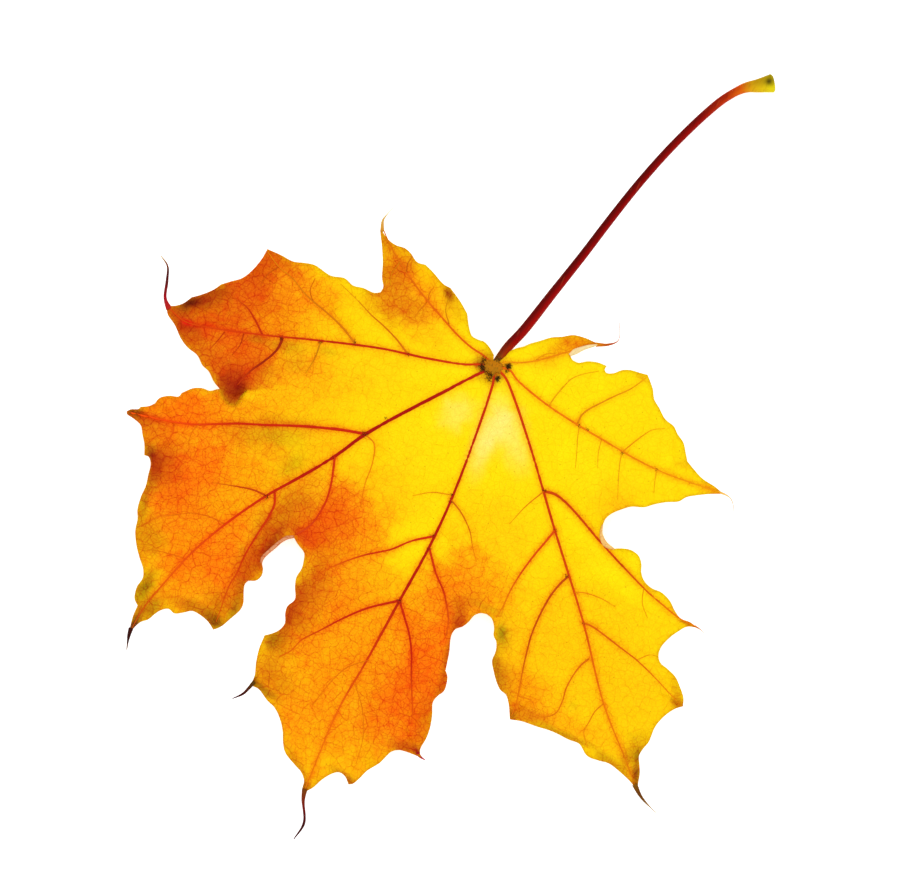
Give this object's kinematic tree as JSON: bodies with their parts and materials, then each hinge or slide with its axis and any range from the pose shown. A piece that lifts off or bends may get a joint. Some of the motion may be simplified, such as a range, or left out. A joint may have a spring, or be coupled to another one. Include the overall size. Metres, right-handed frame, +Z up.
{
  "type": "maple leaf",
  "caption": "Fallen autumn leaf of a Norway maple lying face up, with toothed lobes ending in bristles, low domed blade, waved margin and a long bent stalk",
  "frame": {"origin": "middle of the leaf's box in x and y, on the surface that it rests on", "axes": "+Z up from the leaf's upper face, +Y from the middle lobe's tip towards the stalk's foot, +X towards the lobes that the right side shows with the stalk up"},
  "size_m": [0.1494, 0.1964, 0.0113],
  "materials": {
    "leaf": "waxy autumn leaf, yellow in the middle, turning orange, red and brown towards the lobes, with dark red ribs and stalk"
  },
  "bodies": {
    "root": {"maple_leaf": "leaf"}
  },
  "joints": []
}
